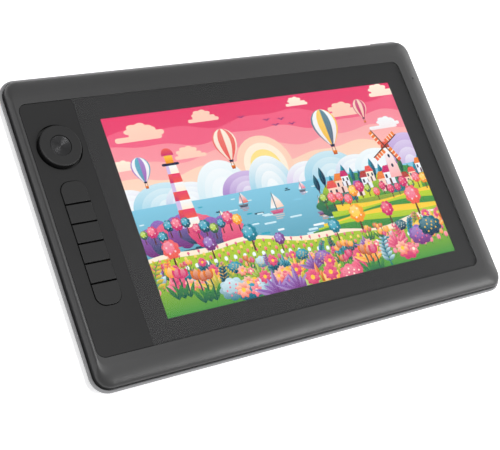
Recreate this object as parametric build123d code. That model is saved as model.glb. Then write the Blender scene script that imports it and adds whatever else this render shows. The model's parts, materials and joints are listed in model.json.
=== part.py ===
from build123d import *
from math import cos, radians, sin
import os

# A pen display that lies flat on its four rubber feet. All sizes are in millimetres.
# X runs from the key side (left) to the plain side (right), Y from the near edge to the far
# edge, Z up. The origin is on the table, under the middle of the body.

# Screen: the lit area of an 11.6 inch panel in 16:9, which sets the size of all the rest
active_length = 256.32
active_depth = 144.18
black_border_left = 16.34
black_border_right = 16.04
black_border_far = 16.46
black_border_near = 14.86

# Dial
knob_radius = 14.6
dial_gap = 1.5
cup_wall = 1.0
cup_floor = 0.8
cup_depth = 2.7
knob_above_panel = 3.0
knob_wall = 1.8
knob_top_wall = 1.8
knob_edge_radius = 0.8
knob_running_gap = 0.3
hub_radius = 6.5
hub_wall = 1.0
hub_running_clearance = 0.1
hub_board_gap = 0.2
hub_hole_clearance = 0.4
encoder_radius = 12.0
encoder_height = 2.8
encoder_counterbore_radius = 7.9
encoder_counterbore_depth = 0.9
clip_thickness = 0.3
clip_groove_height = 0.4
clip_groove_depth = 0.5
clip_groove_rise = 0.15
clip_clearance = 0.05
clip_radius = 7.4
button_radius = 7.35
button_clearance = 0.15
button_seat_wall = 1.2
button_below_knob_top = 0.2
button_thickness = 1.6
button_dish_depth = 0.55
button_dish_margin = 0.7
button_stem_radius = 5.0
button_travel = 0.5
button_edge_radius = 0.25

# Express keys, in one column under the dial
key_count = 6
key_pitch = 13.7
end_key_pitch = 15.45
key_gap = 1.0
key_width = 18.3
key_corner_radius = 7.0
key_above_panel = 0.8
key_edge_radius = 0.45
key_opening_clearance = 0.3
key_flange = 0.9
key_flange_thickness = 1.0
key_flange_gap = 0.2
key_stem_radius = 1.5
key_travel = 0.6
switch_rest_gap = 0.05
dial_to_keys = 8.65
dial_from_far = 32.95
panel_margin = 2.65

# Inset panel and the frame round it
panel_left_border = 6.5
panel_right_border = 22.3
panel_end_border = 21.25
panel_corner_radius = 6.0
panel_recess = 0.3
panel_clearance = 0.25
panel_seam = 0.2
panel_edge_chamfer = 0.12
recess_edge_radius = 0.25
ledge_width = 3.0
narrow_ledge_width = 1.8
ledge_thickness = 1.2
seam_bar_width = 5.0
window_corner_radius = 3.0

# Frame with its rolled edge: wide on three sides, narrow beside the keys
frame_corner_shrink = 3.5
roll_width = 13.5
narrow_roll_width = 3.0
roll_drop = 5.0
roll_angles = (0, 12, 26, 42, 58, 74, 90)
skirt_wall = 1.6
roof_inset = 7.0
roof_step_drop = 2.2

# Back cover
body_corner_radius = 12.4
foot_proud = 1.2
cover_floor = 1.8
cover_edge_radius = 5.0
cover_side_wall = 3.8
lip_wall = 1.4
seam_groove = 1.0
lip_below_frame = 7.7
shelf_below_lip = 1.7
lip_edge_radius = 0.45
rib_height = 1.4
rib_thickness = 1.2
post_radius = 3.0

# Layers between the floor and the top of the glass, from the bottom up
electronics_space = 5.0
mid_plate = 1.2
shield_thickness = 0.2
digitizer_thickness = 0.6
backlight_thickness = 2.0
lcd_thickness = 1.2
gasket_thickness = 0.35
print_thickness = 0.05
glass_thickness = 1.1
tape_thickness = 0.15
tape_setback = 0.3
lcd_border = 4.9
gasket_width = 3.2
mid_rim_seat = 2.5
mid_rim_wall = 1.5
corner_rib_length = 14.0
corner_rib_thickness = 1.2
corner_rib_gap = 0.2
digitizer_margin = 2.0
mid_ear_length = 8.0
mid_ear_reach = 4.6
mid_ear_thickness = 1.2

# Screws
cover_screw_radius = 1.0
cover_screw_head_radius = 2.0
cover_screw_head = 0.9
cover_screw_length = 6.2
cover_boss_radius = 2.6
cover_screw_edge = 12.5
counterbore_clearance = 0.15
through_clearance = 0.2
thread_clearance = 0.05
small_screw_radius = 0.9
small_screw_head_radius = 1.7
small_screw_head = 0.8
small_boss_radius = 2.2
key_screw_depth = 3.0
mid_screw_depth = 1.8
board_screw_depth = 1.6
driver_radius = 0.75
driver_depth = 0.5

# Circuit boards
board_thickness = 1.0
board_standoff = 2.0
main_board_length = 90.0
main_board_depth = 58.0
main_board_inset = 26.5
main_board_edge_gap = 0.8
board_screw_inset = 4.0
key_board_margin = 1.4
key_board_end = 5.0
key_switch_size = 6.0
key_switch_height = 1.4
dial_switch_size = 5.6
dial_switch_height = 0.9
chip_height = 1.2
connector_height = 1.7

# Sockets and the power button, in the far side of the frame
port_width = 9.0
port_height = 3.2
port_depth = 7.6
port_wall = 0.3
port_tongue = 0.7
port_tongue_width = 6.6
port_tongue_setback = 0.8
port_pitch = 16.0
port_slot_clearance = 0.2
port_from_board_end = 14.0
lip_notch_margin = 2.5
power_button_width = 9.0
power_button_height = 2.8
power_button_proud = 0.5
power_button_clearance = 0.2
power_button_flange = 0.9
power_button_flange_thickness = 1.0
power_button_flange_gap = 0.3
power_button_back = 0.6
power_button_travel = 0.5
power_button_pitch = 22.0
power_switch_width = 6.0
power_switch_depth = 3.6
power_switch_height = 3.0

# Status lamp in the plain side of the frame
lamp_radius = 0.75
lamp_clearance = 0.1
lamp_from_side = 12.2
lamp_from_far = 37.3
lamp_flange_radius = 2.0
lamp_flange_thickness = 1.0

# Ribbon cables
ribbon_thickness = 0.2
lcd_ribbon_width = 22.0
digitizer_ribbon_width = 14.0
key_ribbon_width = 10.0
ribbon_bend_reach = 3.0
ribbon_slot_clearance = 0.6
connector_depth = 4.0

# Rubber feet
foot_length = 34.0
foot_width = 10.0
foot_recess = 0.8
foot_edge_radius = 0.5
foot_clearance = 0.1
foot_from_end = 30.0
foot_from_edge = 17.0

# One overrun serves every cut
overrun = 1.0

# Plan of the body, worked out from the screen and the dial
well_radius = knob_radius + dial_gap
key_panel_width = 2 * (well_radius + cup_wall + panel_margin)
panel_length = key_panel_width + black_border_left + active_length + black_border_right
panel_depth = black_border_near + active_depth + black_border_far
body_length = panel_left_border + panel_length + panel_right_border
body_depth = panel_depth + 2 * panel_end_border
body_right = body_length / 2
body_far = body_depth / 2
panel_left = panel_left_border - body_right
panel_right = body_right - panel_right_border
panel_far = panel_depth / 2
glass_corner_radius = panel_corner_radius - panel_clearance
seam_x = panel_left + key_panel_width
active_left = seam_x + black_border_left
active_right = active_left + active_length
active_near = black_border_near - panel_far
active_far = active_near + active_depth
column_x = panel_left + key_panel_width / 2
column_length = (key_count - 2) * key_pitch + 2 * end_key_pitch
dial_y = panel_far - dial_from_far
column_far = dial_y - well_radius - dial_to_keys
column_near = column_far - column_length

# Heights above the table
floor_bottom = foot_proud
floor_top = floor_bottom + cover_floor
mid_bottom = floor_top + electronics_space
mid_top = mid_bottom + mid_plate
digitizer_bottom = mid_top + shield_thickness
backlight_bottom = digitizer_bottom + digitizer_thickness
lcd_bottom = backlight_bottom + backlight_thickness
gasket_bottom = lcd_bottom + lcd_thickness
print_bottom = gasket_bottom + gasket_thickness
glass_bottom = print_bottom + print_thickness
panel_top = glass_bottom + glass_thickness
frame_top = panel_top + panel_recess
ledge_top = print_bottom - tape_thickness
ledge_bottom = ledge_top - ledge_thickness
roll_bottom = frame_top - roll_drop
lip_top = frame_top - lip_below_frame
shelf_height = lip_top - shelf_below_lip
cup_floor_top = panel_top - cup_depth
cup_bottom = cup_floor_top - cup_floor
key_board_top = cup_bottom - encoder_height
key_board_bottom = key_board_top - board_thickness
knob_top = panel_top + knob_above_panel
board_bottom = floor_top + board_standoff
board_top = board_bottom + board_thickness

# Frame outline at the seam groove, and the windows under the panel
frame_right = body_right - lip_wall - seam_groove
frame_far = body_far - lip_wall - seam_groove
frame_corner_radius = body_corner_radius - lip_wall - seam_groove
window_left = panel_left + narrow_ledge_width
window_right = panel_right - ledge_width
window_far = panel_far - ledge_width
bar_left = seam_x - seam_bar_width / 2
bar_right = seam_x + seam_bar_width / 2
lcd_left = active_left - lcd_border
lcd_right = active_right + lcd_border
lcd_near = active_near - lcd_border
lcd_far = active_far + lcd_border
mid_left = bar_right - mid_rim_seat
mid_right = window_right + mid_rim_seat
mid_far = window_far + mid_rim_seat

# Main board, at the far right corner
board_right = body_right - main_board_inset
board_left = board_right - main_board_length
board_far = frame_far - skirt_wall - main_board_edge_gap
board_near = board_far - main_board_depth
port_xs = (board_right - port_from_board_end, board_right - port_from_board_end - port_pitch)
power_x = port_xs[1] - power_button_pitch
ribbon_drop_y = lcd_far + ribbon_bend_reach
lcd_ribbon_share = 0.33
digitizer_ribbon_share = 0.62
lcd_ribbon_x = board_left + lcd_ribbon_share * main_board_length
digitizer_ribbon_x = board_left + digitizer_ribbon_share * main_board_length
ribbon_places = ((lcd_ribbon_x, lcd_ribbon_width), (digitizer_ribbon_x, digitizer_ribbon_width))
lamp_x = body_right - lamp_from_side
lamp_y = body_far - lamp_from_far

# Places of the screws, ribs and posts, as shares of what carries them
cover_screw_shares = (-0.9, -0.31, 0.31, 0.9)
rib_shares = (-0.62, -0.2)
post_length_shares = (0.12, 0.46, 0.86)
post_depth_shares = (0.2, 0.72)
ear_shares = (0.08, 0.5, 0.92)
cover_screw_y = body_far - cover_screw_edge
cover_screw_places = [
    (share * body_right, side * cover_screw_y) for side in (-1, 1) for share in cover_screw_shares
]
cover_screw_places.append((body_right - cover_screw_edge, 0))
board_screw_places = [
    (x, y)
    for x in (board_left + board_screw_inset, board_right - board_screw_inset)
    for y in (board_near + board_screw_inset, board_far - 2 * board_screw_inset)
]
boss_space = small_boss_radius + key_opening_clearance
key_ribbon_y = dial_y + well_radius + cup_wall + boss_space
key_screw_places = [
    (column_x, column_near - key_opening_clearance - 2 * small_boss_radius),
    (column_x, column_far + (dial_to_keys - cup_wall + key_opening_clearance) / 2),
    (column_x, dial_y + well_radius + cup_wall + 2 * boss_space),
]
ear_places = [
    (mid_left + share * (mid_right - mid_left), side * mid_far)
    for side in (-1, 1)
    for share in ear_shares
]


def block(left, right, near, far, bottom, top):
    """Square-cornered block between six planes."""
    solid = Box(right - left, far - near, top - bottom, align=(Align.MIN, Align.MIN, Align.MIN))
    return Pos(left, near, bottom) * solid


def slab(left, right, near, far, radius, bottom, top):
    """Plate with rounded corners between six planes."""
    outline = RectangleRounded(right - left, far - near, radius)
    centre = Pos((left + right) / 2, (near + far) / 2, bottom)
    return extrude(centre * outline, top - bottom)


def disc(place, radius, bottom, top):
    """Upright cylinder at a place in plan."""
    upright = (Align.CENTER, Align.CENTER, Align.MIN)
    return Pos(place[0], place[1], bottom) * Cylinder(radius, top - bottom, align=upright)


def tube(place, outer, inner, bottom, top):
    """Upright tube at a place in plan."""
    return disc(place, outer, bottom, top) - disc(place, inner, bottom - overrun, top + overrun)


def grown(edges, amount):
    """The edges of a rectangle (left, right, near, far) moved outwards."""
    left, right, near, far = edges
    return (left - amount, right + amount, near - amount, far + amount)


def group(shapes):
    """Separate solids kept under one name."""
    return Compound(children=[solid for shape in shapes for solid in shape.solids()])


def edges_at(shape, height):
    """Edges that lie wholly at one height."""
    level = overrun / 1000
    return [e for e in shape.edges() if abs(e.bounding_box().min.Z - height) < level
            and abs(e.bounding_box().max.Z - height) < level]


def edges_within(edges, limits):
    """Those of the edges that lie inside the limits in plan."""
    left, right, near, far = limits
    inside = []
    for edge in edges:
        low, high = edge.bounding_box().min, edge.bounding_box().max
        if low.X > left and high.X < right and low.Y > near and high.Y < far:
            inside.append(edge)
    return inside


def save(name, shape):
    export_step(shape, f"parts/{name}.step")


glass_edges = (seam_x + panel_seam / 2, panel_right, -panel_far, panel_far)
key_panel_edges = (panel_left, seam_x - panel_seam / 2, -panel_far, panel_far)
panel_edges = (panel_left, panel_right, -panel_far, panel_far)
screen_window = (bar_right, window_right, -window_far, window_far)
key_window = (window_left, bar_left, -window_far, window_far)
lcd_edges = (lcd_left, lcd_right, lcd_near, lcd_far)
active_edges = (active_left, active_right, active_near, active_far)
mid_edges = (mid_left, mid_right, -mid_far, mid_far)


def frame_section(angle):
    """Outline of the frame where the rolled edge has turned by this angle."""
    turned = 1 - cos(radians(angle))
    left = -frame_right + narrow_roll_width * turned
    right = frame_right - roll_width * turned
    half_depth = frame_far - roll_width * turned
    radius = frame_corner_radius - frame_corner_shrink * turned
    height = roll_bottom + roll_drop * sin(radians(angle))
    outline = RectangleRounded(right - left, 2 * half_depth, radius)
    return Pos((left + right) / 2, 0, height) * outline


def make_top_frame():
    frame_edges = (-frame_right, frame_right, -frame_far, frame_far)
    skirt = slab(*frame_edges, frame_corner_radius, shelf_height, roll_bottom)
    rolled = loft([frame_section(angle).face() for angle in roll_angles])
    frame = skirt + rolled
    inner_radius = frame_corner_radius - skirt_wall
    roof_step = ledge_bottom - roof_step_drop
    hollow = slab(*grown(frame_edges, -skirt_wall), inner_radius, shelf_height - overrun, roof_step)
    roof = slab(*grown(frame_edges, -roof_inset), inner_radius / 2, shelf_height, ledge_bottom)
    recess = slab(*grown(panel_edges, panel_clearance), panel_corner_radius,
                  ledge_top, frame_top + overrun)
    frame -= recess
    rim = edges_within(edges_at(frame, frame_top), grown(panel_edges, 2 * panel_clearance))
    frame = fillet(rim, recess_edge_radius) - hollow - roof
    for window in (screen_window, key_window):
        frame -= slab(*window, window_corner_radius, roof_step - overrun, frame_top)
    for place in cover_screw_places:
        frame += disc(place, cover_boss_radius, floor_top, ledge_bottom + overrun / 2)
    pilot_top = floor_bottom + cover_screw_head + cover_screw_length + overrun
    for place in cover_screw_places:
        pilot = cover_screw_radius + thread_clearance
        frame -= disc(place, pilot, floor_top - overrun, pilot_top)
    for place in ear_places:
        pilot = small_screw_radius + thread_clearance
        ear_y = place[1] + mid_ear_reach / 2 * (1 if place[1] > 0 else -1)
        frame -= disc((place[0], ear_y), pilot, ledge_bottom - overrun, ledge_bottom + mid_screw_depth)
    frame -= far_side_slots()
    frame -= disc((lamp_x, lamp_y), lamp_radius + lamp_clearance,
                  ledge_bottom - overrun, frame_top + overrun)
    return frame


def far_side_slots():
    """Slots for the two sockets and the power button, through the far wall of the skirt."""
    wall_near = frame_far - skirt_wall - overrun
    wall_far = frame_far + overrun
    depth = wall_far - wall_near
    cuts = []
    for x in port_xs:
        width = port_width + 2 * port_slot_clearance
        height = port_height + 2 * port_slot_clearance
        outline = SlotOverall(width, height)
        centre = Pos(x, wall_far, board_top + port_height / 2)
        cuts.append(extrude(centre * Rot(90, 0, 0) * outline, depth))
    width = power_button_width + 2 * power_button_clearance
    height = power_button_height + 2 * power_button_clearance
    centre = Pos(power_x, wall_far, board_top + port_height / 2)
    cuts.append(extrude(centre * Rot(90, 0, 0) * SlotOverall(width, height), depth))
    return cuts


def make_back_cover():
    body_edges = (-body_right, body_right, -body_far, body_far)
    cover = slab(*body_edges, body_corner_radius, floor_bottom, lip_top)
    cover = fillet(edges_at(cover, floor_bottom), cover_edge_radius)
    cover = fillet(edges_at(cover, lip_top), lip_edge_radius)
    lip_inside = grown(body_edges, -lip_wall)
    cover -= slab(*lip_inside, body_corner_radius - lip_wall, shelf_height, lip_top + overrun)
    inside = grown(body_edges, -cover_side_wall)
    cover -= slab(*inside, body_corner_radius - cover_side_wall, floor_top, lip_top)
    for share in rib_shares:
        x = share * body_right
        rib_far = cover_screw_y - cover_boss_radius - overrun
        cover += block(x, x + rib_thickness, -rib_far, rib_far, floor_top, floor_top + rib_height)
    for place in support_posts():
        cover += disc(place, post_radius, floor_top, mid_bottom)
    for place in board_screw_places:
        cover += disc(place, small_boss_radius, floor_top, board_bottom)
        pilot = small_screw_radius + thread_clearance
        cover -= disc(place, pilot, board_bottom - board_screw_depth, board_bottom + overrun)
    for place in cover_screw_places:
        head_room = cover_screw_head_radius + counterbore_clearance
        cover -= disc(place, head_room, floor_bottom - overrun, floor_bottom + cover_screw_head)
        cover -= disc(place, cover_screw_radius + through_clearance, floor_bottom, floor_top + overrun)
    for foot in foot_edges():
        cover -= slab(*grown(foot, foot_clearance), foot_width / 2, floor_bottom - overrun,
                      floor_bottom + foot_recess)
    notch_left = power_x - power_button_width / 2 - lip_notch_margin
    notch_right = max(port_xs) + port_width / 2 + lip_notch_margin
    cover -= block(notch_left, notch_right, body_far - cover_side_wall, body_far + overrun,
                   shelf_height, lip_top + overrun)
    return cover


def support_posts():
    """Posts that carry the middle frame, clear of the main board."""
    places = []
    for length_share in post_length_shares:
        for depth_share in post_depth_shares:
            x = mid_left + length_share * (mid_right - mid_left)
            y = (2 * depth_share - 1) * mid_far
            on_board = x > board_left - post_radius and y > board_near - post_radius
            if not on_board:
                places.append((x, y))
    return places


def foot_edges():
    """Plan edges of the four feet."""
    feet = []
    for side_x in (-1, 1):
        for side_y in (-1, 1):
            x = side_x * (body_right - foot_from_end)
            y = side_y * (body_far - foot_from_edge - foot_width / 2)
            feet.append((x - foot_length / 2, x + foot_length / 2,
                         y - foot_width / 2, y + foot_width / 2))
    return feet


def make_rubber_feet():
    feet = []
    for edges in foot_edges():
        foot = slab(*edges, foot_width / 2 - foot_clearance, 0, floor_bottom + foot_recess)
        feet.append(fillet(edges_at(foot, 0), foot_edge_radius))
    return group(feet)


def half_rounded(edges, round_right, bottom, top):
    """Plate with two corners that follow the recess, and two square ones at the seam."""
    left, right, near, far = edges
    middle = (left + right) / 2
    square_left, square_right = (left, middle) if round_right else (middle, right)
    plate = slab(*edges, glass_corner_radius, bottom, top)
    return plate + block(square_left, square_right, near, far, bottom, top)


def make_cover_glass():
    glass = half_rounded(glass_edges, True, glass_bottom, panel_top)
    return chamfer(edges_at(glass, panel_top), panel_edge_chamfer)


def make_border_print():
    sheet = half_rounded(glass_edges, True, print_bottom, glass_bottom)
    return sheet - block(*active_edges, print_bottom - overrun, glass_bottom + overrun)


def make_glass_tape():
    outline = grown(glass_edges, -tape_setback)
    sheet = slab(*outline, glass_corner_radius, ledge_top, print_bottom)
    return sheet - slab(*screen_window, window_corner_radius, ledge_top - overrun, glass_bottom)


def make_key_panel_tape():
    outline = grown(key_panel_edges, -tape_setback)
    sheet = slab(*outline, glass_corner_radius, ledge_top, print_bottom)
    return sheet - slab(*key_window, window_corner_radius, ledge_top - overrun, glass_bottom)


def key_column(clearance, bottom, top):
    """Outline of the whole key column, with a clearance all round."""
    edges = (column_x - key_width / 2, column_x + key_width / 2, column_near, column_far)
    return slab(*grown(edges, clearance), key_corner_radius + clearance, bottom, top)


def make_key_panel():
    panel = half_rounded(key_panel_edges, False, print_bottom, panel_top)
    dial = (column_x, dial_y)
    panel -= key_column(key_opening_clearance, print_bottom - overrun, panel_top + overrun)
    panel -= disc(dial, well_radius, print_bottom - overrun, panel_top + overrun)
    panel = chamfer(edges_at(panel, panel_top), panel_edge_chamfer)
    panel += disc(dial, well_radius + cup_wall, cup_bottom, glass_bottom)
    panel -= disc(dial, well_radius, cup_floor_top, panel_top)
    panel -= disc(dial, hub_radius + hub_hole_clearance, cup_bottom - overrun, panel_top)
    for place in key_screw_places:
        panel += disc(place, small_boss_radius, key_board_top, print_bottom)
        pilot = small_screw_radius + thread_clearance
        panel -= disc(place, pilot, key_board_top - overrun, key_board_top + key_screw_depth)
    return panel


def key_spans():
    """Near and far edge of each key, counted from the dial."""
    seams = [column_far - end_key_pitch - number * key_pitch for number in range(key_count - 1)]
    fars = [column_far] + [seam - key_gap / 2 for seam in seams]
    nears = [seam + key_gap / 2 for seam in seams] + [column_near]
    return list(zip(nears, fars))


def make_key(number):
    near, far = key_spans()[number]
    flange_top = print_bottom - key_flange_gap
    flange_bottom = flange_top - key_flange_thickness
    reach = key_width / 2 + key_flange
    cap = key_column(0, flange_bottom, panel_top + key_above_panel)
    cap &= block(column_x - reach, column_x + reach, near, far, flange_bottom, knob_top)
    cap = fillet(edges_at(cap, panel_top + key_above_panel), key_edge_radius)
    stem_bottom = key_board_top + key_switch_height + key_travel + switch_rest_gap
    flange_far = far - key_corner_radius if number == 0 else far
    flange_near = near + key_corner_radius if number == key_count - 1 else near
    cap += block(column_x - reach, column_x + reach, flange_near, flange_far,
                 flange_bottom, flange_top)
    cap += disc((column_x, (near + far) / 2), key_stem_radius, stem_bottom, flange_top)
    return cap


def make_key_switches():
    half = key_switch_size / 2
    switches = []
    for near, far in key_spans():
        middle = (near + far) / 2
        switches.append(block(column_x - half, column_x + half, middle - half, middle + half,
                              key_board_top, key_board_top + key_switch_height))
    return group(switches)


def key_board_edges():
    left = window_left + key_board_margin
    right = bar_left - key_board_margin
    near = key_screw_places[0][1] - key_board_end
    far = key_screw_places[2][1] + key_board_end
    return (left, right, near, far)


def make_key_board():
    board = slab(*key_board_edges(), small_boss_radius, key_board_bottom, key_board_top)
    for place in key_screw_places:
        board -= disc(place, small_screw_radius + through_clearance,
                      key_board_bottom - overrun, key_board_top + overrun)
    right = key_board_edges()[1]
    connector = block(right - connector_depth, right, key_ribbon_y - key_ribbon_width / 2,
                      key_ribbon_y + key_ribbon_width / 2, key_board_bottom - chip_height,
                      key_board_bottom)
    return board + connector


def screw(place, head_bottom, shank_length, radius, head_radius, head_height):
    """Pan head screw that enters from below, with a round driver recess."""
    head_top = head_bottom + head_height
    solid = disc(place, head_radius, head_bottom, head_top)
    solid += disc(place, radius, head_bottom, head_top + shank_length)
    return solid - disc(place, driver_radius, head_bottom - overrun, head_bottom + driver_depth)


def make_cover_screws():
    shank = cover_screw_length
    return group([screw(place, floor_bottom, shank, cover_screw_radius,
                        cover_screw_head_radius, cover_screw_head)
                  for place in cover_screw_places])


def make_key_board_screws():
    shank = board_thickness + key_screw_depth - thread_clearance
    bottom = key_board_bottom - small_screw_head
    return group([screw(place, bottom, shank, small_screw_radius, small_screw_head_radius,
                        small_screw_head) for place in key_screw_places])


def make_mid_screws():
    shank = mid_ear_thickness + mid_screw_depth - thread_clearance
    bottom = ledge_bottom - mid_ear_thickness - small_screw_head
    screws = []
    for x, y in ear_places:
        ear_y = y + mid_ear_reach / 2 * (1 if y > 0 else -1)
        screws.append(screw((x, ear_y), bottom, shank, small_screw_radius,
                            small_screw_head_radius, small_screw_head))
    return group(screws)


def make_board_screws():
    screws = []
    for place in board_screw_places:
        head = disc(place, small_screw_head_radius, board_top, board_top + small_screw_head)
        shank_bottom = board_bottom - board_screw_depth + thread_clearance
        head += disc(place, small_screw_radius, shank_bottom, board_top)
        recess_bottom = board_top + small_screw_head - driver_depth
        screws.append(head - disc(place, driver_radius, recess_bottom, board_top + 2 * overrun))
    return group(screws)


def make_mid_frame():
    plate = slab(*mid_edges, window_corner_radius, mid_bottom, ledge_bottom)
    plate -= slab(*grown(mid_edges, -mid_rim_wall), window_corner_radius / 2,
                  mid_top, ledge_bottom + overrun)
    outer = grown(lcd_edges, corner_rib_gap + corner_rib_thickness)
    frame = block(*outer, mid_top, lcd_bottom)
    frame -= block(*grown(lcd_edges, corner_rib_gap), mid_top - overrun, lcd_bottom + overrun)
    left, right, near, far = grown(lcd_edges, -corner_rib_length)
    frame -= block(left, right, near - body_depth, far + body_depth, mid_top - overrun,
                   lcd_bottom + overrun)
    frame -= block(left - body_length, right + body_length, near, far, mid_top - overrun,
                   lcd_bottom + overrun)
    plate += frame
    for x, y in ear_places:
        side = 1 if y > 0 else -1
        near, far = sorted((y - side * mid_rim_wall, y + side * mid_ear_reach))
        plate += block(x - mid_ear_length / 2, x + mid_ear_length / 2, near, far,
                       ledge_bottom - mid_ear_thickness, ledge_bottom)
        plate -= disc((x, y + side * mid_ear_reach / 2), small_screw_radius + through_clearance,
                      ledge_bottom - mid_ear_thickness - overrun, ledge_bottom + overrun)
    for x, width in ribbon_places:
        half = width / 2 + ribbon_slot_clearance
        plate -= block(x - half, x + half, ribbon_drop_y - ribbon_slot_clearance,
                       ribbon_drop_y + ribbon_thickness + ribbon_slot_clearance,
                       mid_bottom - overrun, mid_top + overrun)
    return plate


def make_drop_ribbon(x, width, start_y, top):
    """Ribbon that leaves the screen stack at its far edge and drops to the main board."""
    left = x - width / 2
    right = x + width / 2
    far = ribbon_drop_y + ribbon_thickness
    ribbon = block(left, right, start_y, far, top - ribbon_thickness, top)
    return ribbon + block(left, right, ribbon_drop_y, far, board_top + connector_height, top)


def make_key_ribbon():
    height = key_board_bottom - chip_height / 2
    left = key_board_edges()[1]
    return block(left, board_left + connector_depth, key_ribbon_y - key_ribbon_width / 2,
                 key_ribbon_y + key_ribbon_width / 2, height - ribbon_thickness, height)


def make_main_board():
    board = slab(board_left, board_right, board_near, board_far, small_boss_radius / 2,
                 board_bottom, board_top)
    for place in board_screw_places:
        board -= disc(place, small_screw_radius + through_clearance,
                      board_bottom - overrun, board_top + overrun)
    return board


def make_board_parts():
    """Chips and ribbon connectors on the main board."""
    far = ribbon_drop_y + ribbon_thickness + connector_depth / 2
    near = far - connector_depth
    parts = []
    for x, width in ribbon_places:
        parts.append(block(x - width / 2, x + width / 2, near, far, board_top,
                           board_top + connector_height))
    ribbon_bottom = key_board_bottom - chip_height / 2 - ribbon_thickness
    parts.append(block(board_left, board_left + connector_depth, key_ribbon_y - key_ribbon_width / 2,
                       key_ribbon_y + key_ribbon_width / 2, board_top, ribbon_bottom))
    chip_shares = ((0.3, 0.3, 0.16), (0.55, 0.34, 0.11), (0.78, 0.3, 0.09), (0.36, 0.86, 0.07))
    for length_share, depth_share, size_share in chip_shares:
        x = board_left + length_share * main_board_length
        y = board_near + depth_share * main_board_depth
        half = size_share * main_board_depth / 2
        parts.append(block(x - half, x + half, y - half, y + half, board_top,
                           board_top + chip_height))
    return group(parts)


def make_port(x):
    """Reversible socket: folded shell, closed back, and the contact tongue inside."""
    middle = board_top + port_height / 2
    mouth = Pos(x, frame_far, middle) * Rot(90, 0, 0)
    shell = extrude(mouth * SlotOverall(port_width, port_height), port_depth)
    inner_width = port_width - 2 * port_wall
    inner_height = port_height - 2 * port_wall
    shell -= extrude(mouth * SlotOverall(inner_width, inner_height), port_depth - 2 * port_wall)
    half = port_tongue_width / 2
    return shell + block(x - half, x + half, frame_far - port_depth + port_wall,
                         frame_far - port_tongue_setback, middle - port_tongue / 2,
                         middle + port_tongue / 2)


def power_button_back_y():
    return frame_far - skirt_wall - power_button_flange_gap - power_button_flange_thickness


def make_power_button():
    middle = board_top + port_height / 2
    face = Pos(power_x, frame_far + power_button_proud, middle) * Rot(90, 0, 0)
    cap_depth = skirt_wall + power_button_proud + power_button_flange_gap
    cap = extrude(face * SlotOverall(power_button_width, power_button_height), cap_depth)
    flange_place = Pos(power_x, frame_far - skirt_wall - power_button_flange_gap, middle)
    width = power_button_width + 2 * power_button_flange
    height = power_button_height
    flange = flange_place * Rot(90, 0, 0) * SlotOverall(width, height)
    cap += extrude(flange, power_button_flange_thickness)
    nub_near = power_button_back_y() - power_button_back
    half = key_stem_radius
    return cap + block(power_x - half, power_x + half, nub_near, frame_far,
                       middle - half / 2, middle + half / 2)


def make_power_switch():
    front = power_button_back_y() - power_button_back - power_button_travel - switch_rest_gap
    half = power_switch_width / 2
    return block(power_x - half, power_x + half, front - power_switch_depth, front,
                 board_top, board_top + power_switch_height)


def make_status_lamp():
    place = (lamp_x, lamp_y)
    pipe = disc(place, lamp_radius, ledge_bottom - lamp_flange_thickness, frame_top)
    return pipe + disc(place, lamp_flange_radius, ledge_bottom - lamp_flange_thickness, ledge_bottom)


def make_dial_knob():
    place = (column_x, dial_y)
    bottom = cup_floor_top + knob_running_gap
    knob = disc(place, knob_radius, bottom, knob_top)
    knob = fillet(edges_at(knob, knob_top), knob_edge_radius)
    roof = knob_top - knob_top_wall
    knob -= disc(place, knob_radius - knob_wall, bottom - overrun, roof)
    seat_depth = button_below_knob_top + button_thickness + button_travel + switch_rest_gap
    seat = knob_top - seat_depth
    seat_radius = button_radius + button_clearance
    knob += disc(place, seat_radius + button_seat_wall, seat - button_seat_wall, roof)
    knob += disc(place, hub_radius, key_board_top + hub_board_gap, roof)
    knob -= disc(place, seat_radius, seat, knob_top + overrun)
    knob -= disc(place, hub_radius - hub_wall, key_board_top - overrun, knob_top)
    groove_bottom = key_board_top + hub_board_gap + clip_groove_rise
    groove_top = groove_bottom + clip_groove_height
    groove_radius = hub_radius - clip_groove_depth
    return knob - tube(place, knob_radius - knob_wall - overrun, groove_radius,
                       groove_bottom, groove_top)


def make_dial_clip():
    place = (column_x, dial_y)
    slack = (clip_groove_height - clip_thickness) / 2
    bottom = key_board_top + hub_board_gap + clip_groove_rise + slack
    inner = hub_radius - clip_groove_depth + clip_clearance
    return tube(place, clip_radius, inner, bottom, bottom + clip_thickness)


def make_dial_encoder():
    place = (column_x, dial_y)
    bore = hub_radius + hub_running_clearance
    body = tube(place, encoder_radius, bore, key_board_top, cup_bottom)
    return body - disc(place, encoder_counterbore_radius, key_board_top - overrun,
                       key_board_top + encoder_counterbore_depth)


def make_dial_button():
    place = (column_x, dial_y)
    top = knob_top - button_below_knob_top
    cap = disc(place, button_radius, top - button_thickness, top)
    cap = fillet(edges_at(cap, top), button_edge_radius)
    dish_radius = button_radius - button_dish_margin
    sphere_radius = (dish_radius ** 2 + button_dish_depth ** 2) / (2 * button_dish_depth)
    sphere_height = top - button_dish_depth + sphere_radius
    cap -= Pos(place[0], place[1], sphere_height) * Sphere(sphere_radius)
    stem_bottom = key_board_top + dial_switch_height + button_travel + switch_rest_gap
    return cap + disc(place, button_stem_radius, stem_bottom, top - button_thickness)


def make_dial_switch():
    half = dial_switch_size / 2
    return block(column_x - half, column_x + half, dial_y - half, dial_y + half,
                 key_board_top, key_board_top + dial_switch_height)


def make_screen_gasket():
    outline = grown(active_edges, gasket_width)
    ring = block(*outline, gasket_bottom, print_bottom)
    inside = grown(active_edges, gasket_width / 4)
    return ring - block(*inside, gasket_bottom - overrun, print_bottom + overrun)


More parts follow.
